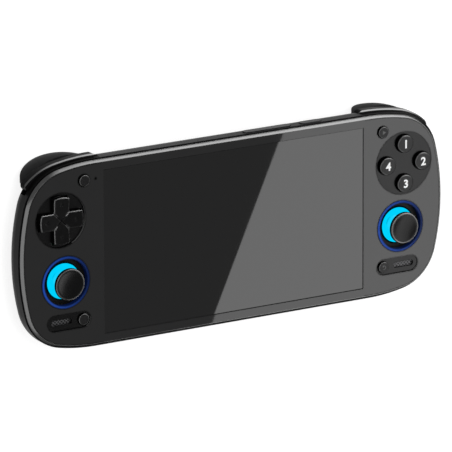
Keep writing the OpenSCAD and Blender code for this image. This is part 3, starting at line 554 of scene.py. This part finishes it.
printed("pointer_mark", ring_points(pointer_r, 0, 240, 3), "start_button")
arrow_outline = np.concatenate(
    [
        ring_points(arrow_r + arrow_line / 2, arrow_start, arrow_end),
        ring_points(arrow_r + arrow_head, arrow_end, arrow_end, 1),
        ring_points(arrow_r, arrow_tip, arrow_tip, 1),
        ring_points(arrow_r - arrow_head, arrow_end, arrow_end, 1),
        ring_points(arrow_r - arrow_line / 2, arrow_end, arrow_start),
    ]
)
printed("turned_arrow_mark", arrow_outline, "menu_button_right")

# Speaker slots: woven black wire behind each slot.
# Its threads run slantwise both ways and are a little brighter than the gaps between them.
mesh_metal, mesh_shader, mesh_place = new_finish("mesh_metal", Specular_IOR_Level=0.05)
thread_pitch, thread_width, thread_depth = 1.5 * mm, 0.13 * mm, 0.1 * mm
slant_up = mesh_place.math("PINGPONG", mesh_place.axis("X") + mesh_place.axis("Y"), thread_pitch / 2)
slant_down = mesh_place.math("PINGPONG", mesh_place.axis("X") - mesh_place.axis("Y"), thread_pitch / 2)
thread = mesh_place.math("MINIMUM", slant_up, slant_down) < thread_width
feed(
    mesh_shader,
    Base_Color=thread.blend((0.002, 0.002, 0.002), (0.05, 0.05, 0.052)),
    Metallic=thread,
    Roughness=mesh_place.noise(0.5 * mm) * 0.2 + 0.35,
    Normal=mesh_place.add("ShaderNodeBump", inputs={"Distance": thread_depth, "Height": thread}),
)
dress(mesh_metal, "speaker_meshes")

# Sticks: a blue ring round the well, painted to glow along its crest and brighter on the left than on the
# right, as painted light; a cyan light ring on its floor; and a rubber thumb cap.
# The cap's dome under its neck, and the stick housings and gimbals near the stick, are painted to glow with
# the same cyan: painted light.
ring_low, ring_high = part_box("stick_ring_right")
ring_middle = (ring_low + ring_high) / 2
ring_r = (ring_high.x - ring_low.x) / 2
lit_r = 7.4 * mm
glow_size = 2.5 * mm
glow_low, glow_high = (0.0, 0.6, 0.95), (0.0, 0.68, 1.0)
black = (0, 0, 0)


def from_stick(place):
    """Distance from the nearer stick's upright axis: both lie at the same |x| and the same y."""
    away = place.add(
        "ShaderNodeCombineXYZ",
        inputs={"X": abs(place.axis("X")) - ring_middle.x, "Y": place.axis("Y") - ring_middle.y},
    )
    return place.add("ShaderNodeVectorMath", {"operation": "LENGTH"}, {0: away}, out="Value")


light_cyan, light_shader, light_place = new_finish(
    "light_cyan", Specular_IOR_Level=0.0, Emission_Strength=1.0
)
flow = light_place.noise(glow_size)
lit = from_stick(light_place) < lit_r
feed(
    light_shader,
    Base_Color=flow.blend((0.0, 0.008, 0.012), (0.0, 0.012, 0.018)),
    Emission_Color=lit.blend(black, flow.blend(glow_low, glow_high)),
)
dress(light_cyan, "glow_ring_left", "glow_ring_right")
# The stick housings and gimbals glow cyan near the stick: painted light.
dress(light_cyan, "stick_housing_left", "stick_housing_right", "stick_gimbal_left", "stick_gimbal_right")
# The blue ring's crest is painted blue and glowing, brighter towards each ring's left side and dimmer
# towards its right, with near-black borders: painted light and shade.
ring_blue, ring_shader, ring_place = new_finish("ring_blue", Emission_Strength=1.0, Specular_IOR_Level=0.02)
drift = ring_place.noise(7 * mm)
sideways = ring_place.axis("X")
to_right = ring_place.math("SIGN", sideways, 0) * (abs(sideways) - ring_middle.x)
mean_strength, strength_swing = 0.55, 0.45
painted_side_light = (mean_strength - to_right * (strength_swing / ring_r)).clip()
crest_in, crest_width = 0.6 * mm, 0.7 * mm
crest = (1 - abs(from_stick(ring_place) - (ring_r - crest_in)) * (1 / crest_width)).clip() * painted_side_light
crest_paint = drift.blend((0.012, 0.05, 0.3), (0.016, 0.06, 0.34))
crest_painted_glow = drift.blend((0.006, 0.03, 0.16), (0.008, 0.036, 0.19))
feed(
    ring_shader,
    Base_Color=crest.blend((0.002, 0.004, 0.015), crest_paint),
    Emission_Color=crest.blend((0.0002, 0.001, 0.008), crest_painted_glow),
    Roughness=drift * 0.15 + 0.22,
)
dress(ring_blue, "stick_ring_left", "stick_ring_right")
dome_depth = 1.5 * mm
dome_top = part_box("faceplate")[1].z - dome_depth
cap_r = 6.65 * mm
rim_width, rim_slope = 0.9 * mm, 0.4 * mm
rim_tilt = 0.6


def worn_rim(place, edges):
    """The rounded rim of the cap's top, fading in from the dish's border outwards."""
    outwards = ((from_stick(place) - (cap_r - rim_width)) * (1 / rim_slope)).clip()
    return outwards * (facing(place).axis("Z") > rim_tilt)


def cap_side(place):
    """The cap's upright side and the lower half of its rounded rim, given a painted shade: they mirror next
    to nothing.
    """
    upright = facing(place).axis("Z") < rim_tilt
    return upright * (from_stick(place) > cap_r - rim_width) * (place.axis("Z") > dome_top)


cap_rubber = moulded(
    "cap_rubber",
    (0.0015, 0.0015, 0.0016),
    roughness=0.26,
    grain=0.14 * mm,
    depth=0.002 * mm,
    edge=0.8 * mm,
    specular=0.095,
    edge_shine_or_shade=0.04,
    where=worn_rim,
    painted_shade=cap_side,
)
cap_shader = cap_rubber.node_tree.nodes["Principled BSDF"]
cap_place = Wire(cap_rubber.node_tree).add("ShaderNodeTexCoord", out="Object")
# The cap's dome below its neck glows cyan: painted light.
painted_glow_dome = cap_place.axis("Z") < dome_top
feed(cap_shader, Emission_Color=painted_glow_dome.blend(black, cap_place.noise(glow_size).blend(glow_low, glow_high)))
cap_shader.inputs["Emission Strength"].default_value = 1.0
dress(cap_rubber, "stick_cap_left", "stick_cap_right")

# Camera: high over the upper left corner, far away, with the shoulder edge turned up in the picture.
# Its three axes are given in the frame; the lens is long.
camera = bpy.data.objects.new("camera", bpy.data.cameras.new("camera"))
bpy.context.scene.collection.objects.link(camera)
camera_right = Vector((0.86441, -0.00317, 0.50277))
camera_up = Vector((0.14428, 0.95948, -0.24202))
camera_back = Vector((-0.48163, 0.28174, 0.82985))
camera_place = Vector((-1.31326, 0.76768, 2.27943))
camera_turn = Matrix((camera_right, camera_up, camera_back)).transposed().to_4x4()
camera.matrix_world = Matrix.Translation(camera_place) @ camera_turn
camera.data.sensor_width = 36
camera.data.lens = 532.4
camera.data.clip_end = 100
bpy.context.scene.camera = camera

# Floor: a wide white sheet to the camera and in mirrors, with the console's soft shadow on it.
# To other rays it is a grey table, so that it throws little light back up.
floor_size = 8.0
corner = floor_size / 2
floor_corners = [(-corner, -corner, 0), (corner, -corner, 0), (corner, corner, 0), (-corner, corner, 0)]


def quad(name, corners):
    """A flat piece with four corners."""
    mesh = bpy.data.meshes.new(name)
    mesh.from_pydata([tuple(p) for p in corners], [], [(0, 1, 2, 3)])
    piece = bpy.data.objects.new(name, mesh)
    bpy.context.scene.collection.objects.link(piece)
    return piece


def looking(wire):
    """1 for rays that look at the background: from the camera, off a mirror or through glass."""
    kinds = ("Is Camera Ray", "Is Glossy Ray", "Is Transmission Ray")
    camera_ray, glossy_ray, clear_ray = [wire.add("ShaderNodeLightPath", out=kind) for kind in kinds]
    return (camera_ray + glossy_ray + clear_ray).clip()


floor = quad("floor", floor_corners)
floor_finish, floor_shader, floor_place = new_finish(
    "floor", Base_Color=(0.35, 0.35, 0.35, 1), Roughness=0.9, Specular_IOR_Level=0.0, Emission_Strength=0.85
)
floor_shader.inputs["Emission Color"].default_value = (1, 1, 1, 1)
table = floor_place.add("ShaderNodeBsdfDiffuse", inputs={"Color": (0.3, 0.3, 0.3, 1)})
white = Wire(floor_finish.node_tree, floor_shader.outputs[0])
mixed = floor_place.add("ShaderNodeMixShader", inputs={0: looking(floor_place), 1: table, 2: white})
floor_output = floor_finish.node_tree.nodes["Material Output"]
floor_finish.node_tree.links.new(mixed.socket, floor_output.inputs["Surface"])
floor.data.materials.append(floor_finish)

# Light: an even grey sky and a large soft lamp overhead.
# The background that the camera and the mirrors see is white.
world = bpy.data.worlds.new("sky")
bpy.context.scene.world = world
world.use_nodes = True
sky = Wire(world.node_tree)
sky_strength, white_strength = 0.2, 1.0
background = world.node_tree.nodes["Background"]
background.inputs["Color"].default_value = (1, 1, 1, 1)
feed(background, Strength=looking(sky) * (white_strength - sky_strength) + sky_strength)
lamp = bpy.data.lights.new("top_lamp", "AREA")
lamp.shape = "SQUARE"
lamp.size = 0.8
lamp.energy = 20
lamp_holder = bpy.data.objects.new("top_lamp", lamp)
bpy.context.scene.collection.objects.link(lamp_holder)
lamp_place = Vector((-0.5, 0.5, 1.6))
lamp_turn = lamp_place.to_track_quat("Z", "Y").to_matrix().to_4x4()
lamp_holder.matrix_world = Matrix.Translation(lamp_place) @ lamp_turn

# Cards that the polished faces mirror: a bright one over the shoulder edge, a fainter one at the left
# and a black one at the right. A fourth has a straight edge, which gives the slanting border
# of the glare on the face and the glass.
card_distance = 0.7
faded = 0.1


def light_card(name, corners, radiance, fade=0.0):
    """A flat quad that shines only into reflections. Fade is the share of its first side
    over which the light goes down to a tenth at the side's end."""
    card = quad(name, corners)
    finish, shader, place = new_finish(
        name, Base_Color=(0, 0, 0, 1), Specular_IOR_Level=0.0, Emission_Strength=radiance
    )
    shader.inputs["Emission Color"].default_value = (1, 1, 1, 1)
    if fade:
        side = np.array(corners[1]) - corners[0]
        slope = side / (side @ side) / fade
        start = (slope @ corners[0]) + (1 - fade) / fade
        reached = place.add(
            "ShaderNodeVectorMath", {"operation": "DOT_PRODUCT"}, {0: place, 1: tuple(slope)}, out="Value"
        )
        feed(shader, Emission_Color=(reached - start).clip().blend((1, 1, 1), (faded, faded, faded)))
    card.data.materials.append(finish)
    card.visible_camera = False
    card.visible_diffuse = False
    card.visible_shadow = False


def facing_corners(direction, width, height):
    """Corners of an upright quad in a direction from the console, facing it."""
    direction = np.array(direction) / np.linalg.norm(direction)
    sideways = np.cross([0, 0, 1], direction)
    sideways = sideways / np.linalg.norm(sideways) * width / 2
    upwards = np.cross(direction, sideways / np.linalg.norm(sideways)) * height / 2
    middle = direction * card_distance
    lower, upper = middle - upwards, middle + upwards
    return [lower - sideways, lower + sideways, upper + sideways, upper - sideways]


light_card("shoulder_card", facing_corners((0.45, 0.8, 0.42), 1.1, 0.7), radiance=11.0, fade=0.55)
light_card("left_card", facing_corners((-0.9, -0.42, 0.55), 1.2, 0.8), radiance=3.6)
light_card("dark_card", facing_corners((0.8, -0.6, 0.25), 1.6, 0.5), radiance=0.0)
glass_low, glass_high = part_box("display_glass")
border_high_x, border_low_x = 20.9 * mm, -9.7 * mm
border_points = np.array(
    [[border_high_x, glass_high.y, glass_high.z], [border_low_x, glass_low.y, glass_high.z]]
)
sight = border_points - np.array(camera_place)
sight = sight / np.linalg.norm(sight, axis=1)[:, None]
bounced = sight * [1, 1, -1]
panel_normal = bounced.mean(0) / np.linalg.norm(bounced.mean(0))
panel_distance, panel_half, panel_width = 0.25, 0.2, 0.13
reach = (panel_distance - (border_points - border_points.mean(0)) @ panel_normal) / (bounced @ panel_normal)
edge_points = border_points + bounced * reach[:, None]
along = edge_points[0] - edge_points[1]
along = along / np.linalg.norm(along)
across = np.cross(along, panel_normal)
across = across * np.sign(across[0])
middle_point = edge_points.mean(0)
panel_corners = [
    middle_point - along * panel_half,
    middle_point - along * panel_half + across * panel_width,
    middle_point + along * panel_half + across * panel_width,
    middle_point + along * panel_half,
]
light_card("glare_card", panel_corners, radiance=8.0)

# View: plain colours, with no film curve.
bpy.context.scene.view_settings.view_transform = "Standard"
